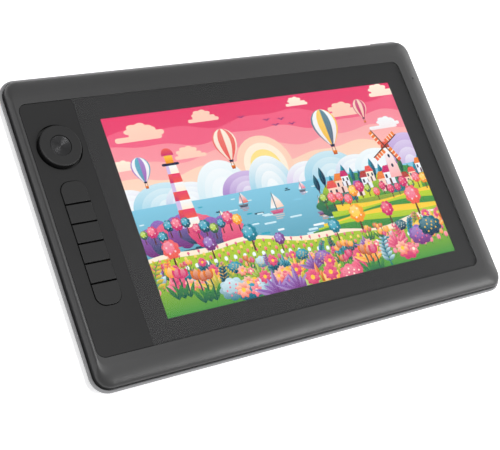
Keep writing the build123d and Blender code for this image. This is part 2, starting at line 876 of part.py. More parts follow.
def main():
    os.makedirs("parts", exist_ok=True)
    digitizer_edges = grown(lcd_edges, -digitizer_margin)
    nodes = {
        "top_frame": make_top_frame(),
        "back_cover": make_back_cover(),
        "cover_glass": make_cover_glass(),
        "border_print": make_border_print(),
        "glass_tape": make_glass_tape(),
        "key_panel": make_key_panel(),
        "key_panel_tape": make_key_panel_tape(),
        "key_switches": make_key_switches(),
        "key_board": make_key_board(),
        "key_board_screws": make_key_board_screws(),
        "dial_knob": make_dial_knob(),
        "dial_clip": make_dial_clip(),
        "dial_encoder": make_dial_encoder(),
        "dial_button": make_dial_button(),
        "dial_switch": make_dial_switch(),
        "screen_gasket": make_screen_gasket(),
        "lcd_panel": block(*lcd_edges, lcd_bottom, gasket_bottom),
        "backlight_unit": block(*lcd_edges, backlight_bottom, lcd_bottom),
        "digitizer_board": block(*digitizer_edges, digitizer_bottom, backlight_bottom),
        "shield_sheet": block(*digitizer_edges, mid_top, digitizer_bottom),
        "mid_frame": make_mid_frame(),
        "mid_frame_screws": make_mid_screws(),
        "main_board": make_main_board(),
        "board_parts": make_board_parts(),
        "board_screws": make_board_screws(),
        "lcd_ribbon": make_drop_ribbon(lcd_ribbon_x, lcd_ribbon_width, lcd_far, gasket_bottom),
        "digitizer_ribbon": make_drop_ribbon(digitizer_ribbon_x, digitizer_ribbon_width,
                                             lcd_far - digitizer_margin, backlight_bottom),
        "key_ribbon": make_key_ribbon(),
        "power_button": make_power_button(),
        "power_switch": make_power_switch(),
        "status_lamp": make_status_lamp(),
        "rubber_feet": make_rubber_feet(),
        "cover_screws": make_cover_screws(),
    }
    for number, x in enumerate(port_xs, start=1):
        nodes[f"usb_c_port_{number}"] = make_port(x)
    for number in range(key_count):
        nodes[f"express_key_{number + 1}"] = make_key(number)
    for name, shape in nodes.items():
        save(name, shape)
    print(f"{len(nodes)} nodes, body {body_length:.1f} by {body_depth:.1f} by {knob_top:.1f} mm")


main()
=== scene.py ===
# %% [markdown]
# # A pen display in Blender
# The object is a flat drawing screen in a dark plastic case, with a column of keys and a dial at
# its left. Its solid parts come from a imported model, which is the fixed frame for this lesson:
# every part already lies at its real place, in metres. What is left to do here is the finish of
# each surface, the picture on the screen, and the small details that the solids leave out.

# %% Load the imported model
import json
import math
import random

import bpy
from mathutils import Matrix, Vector
from mathutils.geometry import delaunay_2d_cdt


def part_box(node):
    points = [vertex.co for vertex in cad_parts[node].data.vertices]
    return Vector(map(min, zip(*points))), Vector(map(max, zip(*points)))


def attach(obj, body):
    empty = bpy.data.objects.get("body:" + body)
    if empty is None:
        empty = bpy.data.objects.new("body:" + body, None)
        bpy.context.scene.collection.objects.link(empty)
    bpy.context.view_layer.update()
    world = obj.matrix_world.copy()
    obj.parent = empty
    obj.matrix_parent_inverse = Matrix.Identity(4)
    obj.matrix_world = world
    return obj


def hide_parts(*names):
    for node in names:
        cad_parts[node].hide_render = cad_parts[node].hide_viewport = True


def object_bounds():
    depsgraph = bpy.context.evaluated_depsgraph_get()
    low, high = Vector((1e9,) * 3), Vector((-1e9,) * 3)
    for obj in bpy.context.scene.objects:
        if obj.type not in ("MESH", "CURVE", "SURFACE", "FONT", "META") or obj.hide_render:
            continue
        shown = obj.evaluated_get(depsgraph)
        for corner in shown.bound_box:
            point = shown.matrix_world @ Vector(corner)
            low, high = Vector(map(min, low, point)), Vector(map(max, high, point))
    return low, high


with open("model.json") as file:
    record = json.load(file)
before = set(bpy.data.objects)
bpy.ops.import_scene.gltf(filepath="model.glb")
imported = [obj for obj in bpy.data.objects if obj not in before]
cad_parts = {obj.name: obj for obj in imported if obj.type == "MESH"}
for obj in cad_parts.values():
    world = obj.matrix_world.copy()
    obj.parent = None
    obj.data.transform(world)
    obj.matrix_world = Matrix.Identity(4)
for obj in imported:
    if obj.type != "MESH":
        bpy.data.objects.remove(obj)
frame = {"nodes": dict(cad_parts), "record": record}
cad_low, cad_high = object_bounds()
nodes = frame["nodes"]
slot_of = {part["node"]: part["material_slot"] for part in frame["record"]["subparts"]}
MM = 0.001
print("nodes", len(nodes), "size in mm", [round(side / MM, 1) for side in cad_high - cad_low])

# %% [markdown]
# ## The camera
# The photograph looks down on the tablet from its near left corner, with a long lens, and the
# camera is turned on its side by about half a right angle. The lit screen is a rectangle of a
# known size, so its four corners in the picture give the place, the aim and the lens.

# %% Place the camera
camera_place = Vector((-496.2, -211.7, 691.5)) * MM
camera_aim = Vector((-31.2, -22.0, 14.7)) * MM
camera_roll = math.radians(-51.94)
lens_length = 87.37
camera_data = bpy.data.cameras.new("camera")
camera_data.lens = lens_length
camera = bpy.data.objects.new("camera", camera_data)
bpy.context.scene.collection.objects.link(camera)
camera.location = camera_place
camera.rotation_euler = (camera_aim - camera_place).to_track_quat("-Z", "Y").to_euler()
camera.rotation_euler.rotate_axis("Z", -camera_roll)
bpy.context.scene.camera = camera
print("camera is", round((camera_aim - camera_place).length, 3), "m from its aim")

# %% [markdown]
# ## The table and the light
# A product photograph has a white ground that fades to nothing. The table here is a large pale
# sheet. Rays from the camera, mirrors and glass also see a little light of its own, so that it
# reads as white while the object still drops its soft shadow on it.

# %% Make the table
def select_only(piece):
    """Make one object the only selected one, and the active one."""
    bpy.ops.object.select_all(action="DESELECT")
    piece.select_set(True)
    bpy.context.view_layer.objects.active = piece


finishes = {}


def new_tree(name):
    """Put a new material among the finishes, and give its node tree and its Principled shader."""
    finishes[name] = bpy.data.materials.new(name)
    finishes[name].use_nodes = True
    tree = finishes[name].node_tree
    return tree, tree.nodes["Principled BSDF"]


def fill(tree, node, **values):
    """Fill or link a node's inputs. Base_Color is its input Base Color, and _0 is its first."""
    for name, value in values.items():
        key = int(name[1:]) if name[1:].isdigit() else name.replace("_", " ")
        if isinstance(value, bpy.types.NodeSocket):
            tree.links.new(value, node.inputs[key])
        else:
            node.inputs[key].default_value = value
    return node


def add(tree, kind, settings=None, **values):
    """Add a node, set its options, and fill or link its inputs."""
    made = tree.nodes.new(kind)
    for option, value in (settings or {}).items():
        setattr(made, option, value)
    return fill(tree, made, **values)


def calculate(tree, operation, *numbers, clamp=False):
    """The result of a Math node on numbers or sockets."""
    inputs = {f"_{place}": number for place, number in enumerate(numbers)}
    settings = {"operation": operation, "use_clamp": clamp}
    return add(tree, "ShaderNodeMath", settings, **inputs).outputs[0]


def seen_directly(tree):
    """1 for rays from the camera, a mirror or glass, and 0 for rays that only carry light."""
    path = add(tree, "ShaderNodeLightPath").outputs
    first = calculate(tree, "ADD", path["Is Camera Ray"], path["Is Glossy Ray"], clamp=True)
    return calculate(tree, "ADD", first, path["Is Transmission Ray"], clamp=True)


table_size, table_glow = 6.0, 0.58
bpy.ops.object.select_all(action="DESELECT")
bpy.ops.mesh.primitive_plane_add(size=table_size)
table = bpy.context.object
table.name = "table"
tree, shader = new_tree("white_table")
fill(tree, shader, Base_Color=(0.84, 0.84, 0.85, 1), Roughness=0.9, Specular_IOR_Level=0.1)
glow = add(tree, "ShaderNodeEmission",
           Strength=calculate(tree, "MULTIPLY", seen_directly(tree), table_glow))
both = add(tree, "ShaderNodeAddShader", _0=shader.outputs[0], _1=glow.outputs[0])
fill(tree, tree.nodes["Material Output"], Surface=both.outputs[0])
table.data.materials.append(finishes["white_table"])

# %% Light the studio
world = bpy.data.worlds.new("studio")
bpy.context.scene.world = world
world.use_nodes = True
tree = world.node_tree
fill_light, white = 0.42, 1.0
strength = calculate(tree, "MULTIPLY_ADD", seen_directly(tree), white - fill_light, fill_light)
fill(tree, tree.nodes["Background"], Color=(1.0, 1.0, 1.0, 1), Strength=strength)


def softbox(name, place, aim, size, power):
    """A large area lamp that looks at a point."""
    lamp = bpy.data.lights.new(name, "AREA")
    lamp.shape = "RECTANGLE"
    lamp.size, lamp.size_y = size
    lamp.energy = power
    holder = bpy.data.objects.new(name, lamp)
    bpy.context.scene.collection.objects.link(holder)
    holder.location = place
    holder.rotation_euler = (Vector(aim) - Vector(place)).to_track_quat("-Z", "Y").to_euler()


softbox("near_softbox", (0.77, -0.7, 0.79), (0, -0.1, 0), (0.7, 0.5), 8.8)
softbox("right_softbox", (1.3, 0.3, 0.4), (0.1, 0, 0), (0.9, 0.5), 3.4)
softbox("left_strip", (-1.4, 0.35, 0.2), (-0.17, 0, 0.01), (1.2, 0.3), 2)
softbox("overhead_lamp", (-0.1, 0.08, 1.5), (-0.15, 0.05, 0), (0.17, 0.17), 9)
bpy.context.scene.view_settings.view_transform = "Standard"

# %% [markdown]
# ## Plastic that was moulded, not poured flat
# The case is injection moulded. Its mould was spark eroded, which leaves a fine even grain that
# takes the shine down. Two effects are shared by all the plastics: the grain itself, and the
# slow change of shine that hands leave. Each is a node group that gives only values.

# %% Build the shared effects
def new_group(name, inputs, outputs):
    """A shader node group with named number or vector sockets."""
    group = bpy.data.node_groups.new(name, "ShaderNodeTree")
    for label, kind, default in inputs:
        socket = group.interface.new_socket(label, in_out="INPUT", socket_type=kind)
        if default is not None:
            socket.default_value = default
    for label, kind in outputs:
        group.interface.new_socket(label, in_out="OUTPUT", socket_type=kind)
    return group, group.nodes.new("NodeGroupInput"), group.nodes.new("NodeGroupOutput")


mottle_share = 0.012
grain_group, entry, leave = new_group(
    "moulded_grain",
    [("Place", "NodeSocketVector", None), ("Grains per metre", "NodeSocketFloat", 3000.0)],
    [("Height", "NodeSocketFloat"), ("Mottle", "NodeSocketFloat")])
pits = add(grain_group, "ShaderNodeTexNoise", Vector=entry.outputs["Place"],
           Scale=entry.outputs["Grains per metre"], Detail=2.0, Roughness=0.6)
coarse_scale = calculate(grain_group, "MULTIPLY", entry.outputs["Grains per metre"], mottle_share)
mottle = add(grain_group, "ShaderNodeTexNoise", Vector=entry.outputs["Place"],
             Scale=coarse_scale, Detail=3.0)
fill(grain_group, leave, Height=pits.outputs["Fac"], Mottle=mottle.outputs["Fac"])

touch_group, entry, leave = new_group(
    "handling", [("Place", "NodeSocketVector", None)], [("Shine", "NodeSocketFloat")])
smear = add(touch_group, "ShaderNodeMapping", Vector=entry.outputs["Place"],
            Scale=(22.0, 55.0, 30.0), Rotation=(0, 0, 0.6))
cloud = add(touch_group, "ShaderNodeTexNoise", Vector=smear.outputs[0], Scale=1.0, Detail=5.0,
            Roughness=0.55, Distortion=0.4)
spread = add(touch_group, "ShaderNodeMapRange", Value=cloud.outputs["Fac"],
             From_Min=0.35, From_Max=0.7)
fill(touch_group, leave, Shine=spread.outputs[0])


def place_on(tree):
    """The place of each point on a piece, for its pattern to follow."""
    return add(tree, "ShaderNodeTexCoord").outputs["Object"]


def between(tree, share, dark, light):
    """A colour between dark and light, as far as share says at each point."""
    return add(tree, "ShaderNodeMix", {"data_type": "RGBA"}, Factor=share,
               _6=(*dark, 1), _7=(*light, 1)).outputs[2]


touch_shine = 0.05


def moulded(name, dark, light, rough, grains=3000.0, depth=0.02, gloss=0.5):
    """Grained plastic between two close colours. Its grain is depth millimetres deep, and rough is
    its roughness where nobody touches it."""
    tree, shader = new_tree(name)
    place = place_on(tree)
    grain = add(tree, "ShaderNodeGroup", {"node_tree": grain_group}, Place=place,
                Grains_per_metre=grains)
    touch = add(tree, "ShaderNodeGroup", {"node_tree": touch_group}, Place=place)
    bump = add(tree, "ShaderNodeBump", Height=grain.outputs["Height"], Distance=depth * MM)
    fill(tree, shader, Base_Color=between(tree, grain.outputs["Mottle"], dark, light),
         Roughness=calculate(tree, "MULTIPLY_ADD", touch.outputs["Shine"], -touch_shine, rough),
         Specular_IOR_Level=gloss, Normal=bump.outputs[0])


def grey(level):
    """A grey with a very slight blue cast, as black plastic has."""
    return (level, level, level * 1.03)


moulded("frame_plastic", grey(0.014), grey(0.019), 0.42)
moulded("cover_plastic", grey(0.23), grey(0.25), 0.38)
moulded("panel_plastic", grey(0.007), grey(0.010), 0.42, depth=0.012, gloss=0.25)
moulded("key_plastic", grey(0.007), grey(0.010), 0.44, depth=0.012, gloss=0.27)
moulded("dial_plastic", grey(0.009), grey(0.013), 0.4, depth=0.01, gloss=0.27)
moulded("switch_plastic", grey(0.02), grey(0.03), 0.5)
moulded("chip_plastic", grey(0.012), grey(0.02), 0.55)
moulded("foot_rubber", grey(0.014), grey(0.022), 0.75, grains=1800.0, depth=0.05)
moulded("foam_tape", grey(0.01), grey(0.02), 0.9, grains=2200.0, depth=0.06)
print("finishes so far", list(finishes))

# %% [markdown]
# ## Metals
# Screws, socket shells and shields are drawn or rolled, so fine scratches run one way. The middle
# frame has an even grain instead. The disc in the middle of the dial was turned on a lathe, so
# its marks are circles, and its shine changes only with the distance from the middle.

# %% Make the metals
scratch_depth, turning_depth, turning_marks = 0.004 * MM, 0.001 * MM, 9000.0


def score(tree, shader, marks, smoothest, roughest, depth):
    """Make the surface metal, and let marks change its roughness and its height."""
    tone = add(tree, "ShaderNodeMapRange", Value=marks, To_Min=smoothest, To_Max=roughest)
    bump = add(tree, "ShaderNodeBump", Height=marks, Distance=depth)
    fill(tree, shader, Metallic=1.0, Roughness=tone.outputs[0], Normal=bump.outputs[0])


def drawn_metal(name, colour, rough, across=(400.0, 6000.0, 6000.0)):
    """Metal with fine scratches, which run along X unless across says otherwise."""
    tree, shader = new_tree(name)
    stretched = add(tree, "ShaderNodeMapping", Vector=place_on(tree), Scale=across)
    lines = add(tree, "ShaderNodeTexNoise", Vector=stretched.outputs[0], Scale=1.0, Detail=3.0)
    score(tree, shader, lines.outputs["Fac"], rough * 0.8, rough * 1.25, scratch_depth)
    fill(tree, shader, Base_Color=(*colour, 1))


def spun_metal(name, dark, light, centre, rough):
    """Metal turned on a lathe about an upright axis through centre."""
    tree, shader = new_tree(name)
    centred = add(tree, "ShaderNodeMapping", Vector=place_on(tree),
                  Location=(-centre[0], -centre[1], 0), Scale=(1, 1, 0))
    reach = add(tree, "ShaderNodeVectorMath", {"operation": "LENGTH"}, _0=centred.outputs[0])
    marks = add(tree, "ShaderNodeTexNoise", {"noise_dimensions": "1D"}, W=reach.outputs["Value"],
                Scale=turning_marks, Detail=2.0)
    score(tree, shader, marks.outputs["Fac"], rough * 0.8, rough * 1.2, turning_depth)
    fill(tree, shader, Base_Color=between(tree, marks.outputs["Fac"], dark, light))


button_low, button_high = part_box("dial_button")
dial_centre = (button_low + button_high) / 2
spun_metal("dial_metal", grey(0.024), grey(0.034), dial_centre, 0.32)
drawn_metal("port_metal", (0.62, 0.61, 0.59), 0.3)
drawn_metal("shield_metal", (0.6, 0.6, 0.6), 0.4)
drawn_metal("chassis_metal", (0.5, 0.5, 0.5), 0.5, (900.0, 900.0, 900.0))
drawn_metal("screw_steel", (0.10, 0.10, 0.105), 0.34)
drawn_metal("contact_gold", (0.83, 0.6, 0.27), 0.22, (6000.0, 400.0, 6000.0))

# %% [markdown]
# ## Glass, print and the parts inside
# The front is one sheet of etched glass. The etching scatters reflections but lets the picture
# through. A thin coating also takes most of the reflection away, which keeps the colours deep. A
# lower index of refraction than that of bare glass does the same here. Lamps reach what lies under
# the glass, because it is see-through to shadow rays and to soft bounced light. Behind the border
# lies a print of soft black ink.

# %% Make the glass, print and inner finishes
etch_marks, etch_depth = 5200.0, 0.0002 * MM
etched_roughness, coated_index = 0.2, 1.18
tree, shader = new_tree("etched_glass")
etch = add(tree, "ShaderNodeTexNoise", Vector=place_on(tree), Scale=etch_marks, Detail=1.0)
bump = add(tree, "ShaderNodeBump", Height=etch.outputs["Fac"], Distance=etch_depth)
path = add(tree, "ShaderNodeLightPath").outputs
passing = calculate(tree, "ADD", path["Is Shadow Ray"], path["Is Diffuse Ray"], clamp=True)
fill(tree, shader, Base_Color=(1, 1, 1, 1), Roughness=etched_roughness, IOR=coated_index,
     Transmission_Weight=1.0, Alpha=calculate(tree, "SUBTRACT", 1.0, passing),
     Normal=bump.outputs[0])


def filmed(name, dark, light, scale, rough, detail=3.0):
    """Print and thin sheet goods: two close colours in a slow pattern."""
    tree, shader = new_tree(name)
    drift = add(tree, "ShaderNodeTexNoise", Vector=place_on(tree), Scale=scale, Detail=detail)
    fill(tree, shader, Base_Color=between(tree, drift.outputs["Fac"], dark, light), Roughness=rough)


filmed("border_ink", (0.014, 0.014, 0.015), (0.019, 0.019, 0.020), 900.0, 0.6, 2.0)
filmed("white_film", (0.8, 0.8, 0.8), (0.86, 0.86, 0.86), 120.0, 0.4)
filmed("ribbon_film", (0.45, 0.2, 0.04), (0.62, 0.3, 0.07), 900.0, 0.3)
filmed("circuit_board", (0.008, 0.012, 0.011), (0.014, 0.022, 0.02), 700.0, 0.35)
filmed("lamp_plastic", (0.02, 0.022, 0.025), (0.03, 0.033, 0.037), 1500.0, 0.25)
filmed("screen_dark", (0.006, 0.006, 0.007), (0.012, 0.012, 0.013), 400.0, 0.5)

# %% Give each part its finish
finishes["screen_picture"] = finishes["screen_dark"]
for name, part in nodes.items():
    part.data.materials.clear()
    part.data.materials.append(finishes[slot_of[name]])
print("dressed", len(nodes), "parts with", len(set(slot_of.values())), "finishes")

# %% [markdown]
# ## The middle of the dial
# The button inside the dial is a metal disc with a shallow dish and fine turned grooves, which
# gather the light of a lamp in a soft bow tie. A bump pattern would do from far away. Here the
# grooves are cut for real: the top face of a disc is inset again and again, lower and higher in
# turn, just as the tool of a lathe leaves it.

# %% Turn the middle of the dial
def cylinder(place, radius, height, sides):
    """A cylinder with its middle at place, and its place in its mesh."""
    bpy.ops.object.select_all(action="DESELECT")
    bpy.ops.mesh.primitive_cylinder_add(vertices=sides, radius=radius, depth=height, location=place)
    bpy.ops.object.transform_apply(location=True, rotation=True, scale=True)
    return bpy.context.object


def pick_faces(piece, test):
    """Go to edit mode with only the faces selected that pass a test on their middle and normal."""
    if bpy.context.mode != "OBJECT":
        bpy.ops.object.mode_set(mode="OBJECT")
    select_only(piece)
    bpy.ops.object.mode_set(mode="EDIT")
    bpy.ops.mesh.select_mode(type="FACE")
    bpy.ops.mesh.select_all(action="DESELECT")
    bpy.ops.object.mode_set(mode="OBJECT")
    for face in piece.data.polygons:
        face.select = test(face.center, face.normal)
    bpy.ops.object.mode_set(mode="EDIT")


def settle(piece, name, sharp=35.0):
    """Leave edit mode, put the origin at the frame's, and shade all but the edges smooth."""
    bpy.ops.object.mode_set(mode="OBJECT")
    select_only(piece)
    bpy.ops.object.transform_apply(location=True, rotation=True, scale=True)
    bpy.ops.object.shade_smooth_by_angle(angle=math.radians(sharp))
    piece.name = name
    return piece


cap_radius = (button_high.x - button_low.x) / 2
cap_height, cap_round, cap_rim = 1.6 * MM, 0.25 * MM, 0.45 * MM
dish_depth, stem_radius = 0.55 * MM, 5.0 * MM
turned = cylinder((dial_centre.x, dial_centre.y, button_high.z - cap_height / 2),
                  cap_radius, cap_height, sides=96)
pick_faces(turned, lambda middle, normal: normal.z > 0.9)
bpy.ops.mesh.bevel(offset=cap_round, segments=3, affect="EDGES")
pick_faces(turned, lambda middle, normal: normal.z > 0.99)
bpy.ops.mesh.inset(thickness=cap_rim, depth=0.0)

# %% Cut the grooves of the dish
dish_radius = cap_radius - cap_round - cap_rim
quarter, groove_half = 0.11 * MM, 0.044 * MM
rings = int(dish_radius / quarter) - 1


def dish_height(ring):
    """Height of a ring of the dish against its rim. Four rings make one groove."""
    share = 1 - ring * quarter / dish_radius
    return -dish_depth * (1 - share ** 2) - groove_half * (0, 1, 2, 1)[ring % 4]


for ring in range(rings):
    bpy.ops.mesh.inset(thickness=quarter, depth=dish_height(ring + 1) - dish_height(ring))
pick_faces(turned, lambda middle, normal: normal.z < -0.9)
bpy.ops.mesh.inset(thickness=cap_radius - stem_radius, depth=0.0)
bpy.ops.mesh.extrude_region_move(
    TRANSFORM_OT_translate={"value": (0, 0, button_low.z - button_high.z + cap_height)})
settle(turned, "dial_button_turned", sharp=60.0)
turned.data.materials.append(finishes["dial_metal"])
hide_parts("dial_button")
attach(turned, "dial_centre")
print("dial middle", rings // 4, "grooves", len(turned.data.polygons), "faces")

# %% [markdown]
# ## The screws of the back cover
# Nine small screws hold the cover from below. Each has a low domed head with a cross for the
# driver. The cross is a cube whose four sides are pulled out into arms, narrowed at its deep end,
# and cut away from the head. One screw is modelled, and its copies are turned at random, because
# no screw stops at the same angle as the next.

# %% Model one screw
screws_low, screws_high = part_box("cover_screws")
head_radius, head_height, head_round = 2.0 * MM, 0.9 * MM, 0.45 * MM
shank_radius, cross_taper = 1.0 * MM, 0.6
arm_wide, arm_reach, cross_depth = 0.55 * MM, 0.85 * MM, 0.6 * MM


def cuboid(place, size):
    """A box with its middle at place, and its place in its mesh."""
    bpy.ops.object.select_all(action="DESELECT")
    bpy.ops.mesh.primitive_cube_add(size=1.0, location=place)
    box = bpy.context.object
    box.scale = size
    bpy.ops.object.transform_apply(location=True, rotation=True, scale=True)
    return box


screw = cylinder((0, 0, screws_low.z + head_height / 2), head_radius, head_height, sides=48)
pick_faces(screw, lambda middle, normal: normal.z < -0.9)
bpy.ops.mesh.bevel(offset=head_round, segments=5, affect="EDGES")
pick_faces(screw, lambda middle, normal: normal.z > 0.9)
bpy.ops.mesh.inset(thickness=head_radius - shank_radius, depth=0.0)
bpy.ops.mesh.extrude_region_move(
    TRANSFORM_OT_translate={"value": (0, 0, screws_high.z - screws_low.z - head_height)})
settle(screw, "screw")

cross = cuboid((0, 0, screws_low.z), (arm_wide, arm_wide, cross_depth * 2))
pick_faces(cross, lambda middle, normal: abs(normal.z) < 0.1)
bpy.ops.mesh.extrude_faces_move(TRANSFORM_OT_shrink_fatten={"value": arm_reach})
pick_faces(cross, lambda middle, normal: normal.z > 0.9)
bpy.ops.transform.resize(value=(cross_taper, cross_taper, 1.0),
                         center_override=(0, 0, screws_low.z + cross_depth))
settle(cross, "cross")
cut = screw.modifiers.new("cut", "BOOLEAN")
cut.operation, cut.solver, cut.object = "DIFFERENCE", "EXACT", cross
select_only(screw)
bpy.ops.object.modifier_apply(modifier="cut")
bpy.data.objects.remove(cross)
print("one screw has", len(screw.data.polygons), "faces")

# %% Put a screw in every hole
def places_in_plan(node, apart):
    """The middle of each separate solid of a node, seen from above."""
    groups = []
    for vertex in nodes[node].data.vertices:
        spot = vertex.co.xy
        near = [group for group in groups if (group[0] - spot).length < apart]
        if near:
            near[0].append(spot.copy())
        else:
            groups.append([spot.copy()])
    return [Vector(((min(s.x for s in group) + max(s.x for s in group)) / 2,
                    (min(s.y for s in group) + max(s.y for s in group)) / 2, 0))
            for group in groups]


def joined(pieces, name):
    """Join the pieces into one object with its origin at the frame's."""
    bpy.ops.object.select_all(action="DESELECT")
    for one in pieces:
        one.select_set(True)
    bpy.context.view_layer.objects.active = pieces[0]
    bpy.ops.object.join()
    return settle(bpy.context.object, name)


turns = random.Random(7)
screws_apart = 2.2 * head_radius
copies = []
for spot in places_in_plan("cover_screws", screws_apart):
    select_only(screw)
    bpy.ops.object.duplicate(linked=False)
    bpy.ops.transform.rotate(value=turns.uniform(0, math.pi / 2), orient_axis="Z",
                             center_override=(0, 0, 0))
    bpy.ops.transform.translate(value=spot)
    copies.append(bpy.context.object)
bpy.data.objects.remove(screw)
cross_screws = joined(copies, "cross_head_screws")
cross_screws.data.materials.append(finishes["screw_steel"])
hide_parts("cover_screws")
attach(cross_screws, "tablet_body")
print("placed", len(copies), "screws")

# %% [markdown]
# ## The contacts in the sockets
# Each socket has a tongue of black plastic with a row of gold pads on both sides. The plastic is
# a thin sleeve over the solid's own tongue. One pad is a flat bar with its edges rounded. It is
# copied across the tongue, and the rows are copied into each socket.

# %% Sleeve the tongues
def rounded_bar(place, size, edge):
    """A bar with its middle at place and its edges rounded."""
    bar = cuboid(place, size)
    pick_faces(bar, lambda middle, normal: True)
    bpy.ops.mesh.bevel(offset=edge, segments=2, affect="EDGES")
    bpy.ops.object.mode_set(mode="OBJECT")
    return bar


far_edge = 10 * MM
sockets = sorted(name for name in nodes
                 if slot_of[name] == "port_metal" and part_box(name)[1].y > cad_high.y - far_edge)
tongue_half, tongue_wide, tongue_setback = 0.35 * MM, 6.6 * MM, 0.8 * MM
sleeve, sleeve_long, sleeve_edge = 0.05 * MM, 6.4 * MM, 0.12 * MM
sleeves = []
for socket in sockets:
    low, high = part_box(socket)
    middle = (low + high) / 2
    sleeves.append(rounded_bar(
        (middle.x, high.y - tongue_setback + sleeve - sleeve_long / 2, middle.z),
        (tongue_wide + 2 * sleeve, sleeve_long, 2 * (tongue_half + sleeve)), sleeve_edge))
tongues = joined(sleeves, "socket_tongues")
tongues.data.materials.append(finishes["switch_plastic"])
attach(tongues, "tablet_body")
print("sleeved", len(sleeves), "tongues")

# %% Plate the contacts
pad_wide, pad_long, pad_high, pad_pitch = 0.25 * MM, 3.2 * MM, 0.05 * MM, 0.5 * MM
pads_in_row, pad_setback, pad_edge = 12, 0.4 * MM, 0.015 * MM
pad = rounded_bar((0, 0, 0), (pad_wide, pad_long, pad_high), pad_edge)
copies = []
for socket in sockets:
    low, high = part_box(socket)
    for side in (-1, 1):
        for number in range(pads_in_row):
            select_only(pad)
            bpy.ops.object.duplicate(linked=False)
            bpy.ops.transform.translate(value=(
                (low.x + high.x) / 2 + pad_pitch * (number - (pads_in_row - 1) / 2),
                high.y - tongue_setback - pad_setback - pad_long / 2,
                (low.z + high.z) / 2 + side * (tongue_half + sleeve + pad_high / 2)))
            copies.append(bpy.context.object)
bpy.data.objects.remove(pad)
contacts = joined(copies, "socket_contacts")
contacts.data.materials.append(finishes["contact_gold"])
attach(contacts, "tablet_body")
print("placed", len(copies), "contacts in", len(sockets), "sockets")

# %% [markdown]
# ## The picture on the screen
# The panel is lit from behind, so its picture is light and not paint: the colour goes into
# Emission. An image file could do it, but flat coloured shapes stay sharp from any distance and
# need no file. Each motif is an outline with one colour at its foot and one at its top. The
# outlines are laid over one another like cut paper, and then joined into one flat mesh.
# The scene is a bay with hills, a village, a lighthouse and balloons, seen through plants.

# %% Mix the colours
def paint(red, green, blue):
    """A colour as a screen shows it, from 0 to 255, turned into linear light."""
    return tuple((level / 255) ** 2.2 for level in (red, green, blue))


def blend(one, other, share):
    """A colour between two others."""
    return tuple(a + (b - a) * share for a, b in zip(one, other))


hot_pink, rose, blush = paint(232, 60, 106), paint(244, 112, 138), paint(252, 174, 174)
peach, cream, snow = paint(254, 212, 188), paint(255, 240, 218), paint(246, 251, 253)
ice, pale_blue, lagoon = paint(206, 234, 244), paint(132, 202, 228), paint(44, 164, 190)
teal, deep_teal, navy = paint(8, 112, 130), paint(4, 66, 86), paint(10, 26, 64)
lime, leaf_green, forest = paint(184, 210, 50), paint(70, 148, 66), paint(8, 82, 72)
yellow, orange, coral = paint(254, 206, 64), paint(246, 138, 40), paint(240, 92, 74)
magenta, plum, violet = paint(204, 38, 106), paint(112, 40, 112), paint(150, 108, 192)
lilac, rust, brown = paint(212, 190, 232), paint(176, 66, 40), paint(92, 48, 44)

# %% Lay outlines like cut paper
WIDE, HIGH = 16.0, 9.0
motifs = []
chance = random.Random(41)


def lay(outline, foot, top=None):
    """Add one outline to the pile, with the colour at its foot and the colour at its top."""
    points = [Vector(point) for point in outline]
    area = sum(here.cross(after) for here, after in zip(points, points[1:] + points[:1])) / 2
    motifs.append((points if area > 0 else points[::-1], foot, top or foot))


def pane(left, low, right, high):
    """An upright rectangle."""
    return [(left, low), (right, low), (right, high), (left, high)]


def block(u, low, half_low, high, half_high):
    """A shape that stands upright over u, half_low to each side below and half_high above."""
    return [(u - half_low, low), (u + half_low, low), (u + half_high, high), (u - half_high, high)]


def oval(u, v, width, height, sides=14):
    """The outline of an ellipse with its middle at (u, v)."""
    turns = [math.tau * side / sides for side in range(sides)]
    return [(u + width / 2 * math.cos(a), v + height / 2 * math.sin(a)) for a in turns]


def lobed(u, v, width, height, lobes, depth=0.22, turn=0.0):
    """A round shape with lobes, for clouds, bushes and flowers."""
    points = []
    for step in range(lobes * 5):
        angle = math.tau * step / (lobes * 5)
        reach = 1 - depth + depth * abs(math.sin(angle * lobes / 2))
        points.append((u + width / 2 * reach * math.cos(angle + turn),
                       v + height / 2 * reach * math.sin(angle + turn)))
    return points


def heading(turn):
    """The direction at an angle, and the direction to its left."""
    return Vector((math.cos(turn), math.sin(turn))), Vector((-math.sin(turn), math.cos(turn)))


def leaf(u, v, length, width, turn, half=0):
    """A pointed leaf that grows out of (u, v). half of 1 or -1 gives one side of it only."""
    along, across = heading(turn)
    shares = (0, 0.15, 0.35, 0.55, 0.75, 0.9, 1)
    girths = (0, 0.6, 0.96, 1.0, 0.7, 0.32, 0)
    spine = [Vector((u, v)) + along * length * share for share in shares]
    swell = [across * width / 2 * girth for girth in girths]
    left = spine if half < 0 else [point + out for point, out in zip(spine, swell)]
    right = spine if half > 0 else [point - out for point, out in zip(spine, swell)]
    return left + right[-2:0:-1]


def ribbon(spine, widths):
    """A band along the points of spine, as wide at each as widths says."""
    spine = [Vector(point) for point in spine]
    left, right = [], []
    for place, point in enumerate(spine):
        before, after = spine[max(place - 1, 0)], spine[min(place + 1, len(spine) - 1)]
        way = (after - before).normalized()
        side = Vector((-way.y, way.x)) * widths[place] / 2
        left.append(point + side)
        right.append(point - side)
    return left + right[::-1]


def post(u, low, high, wide):
    """A thin upright bar."""
    return ribbon([(u, low), (u, high)], [wide] * 2)


def pill(u, v, width, height):
    """A lying bar with round ends."""
    bend, ends = height / 2, []
    for middle, start in ((u + width / 2 - bend, -90), (u - width / 2 + bend, 90)):
        for step in range(6):
            angle = math.radians(start + 36 * step)
            ends.append((middle + bend * math.cos(angle), v + bend * math.sin(angle)))
    return ends


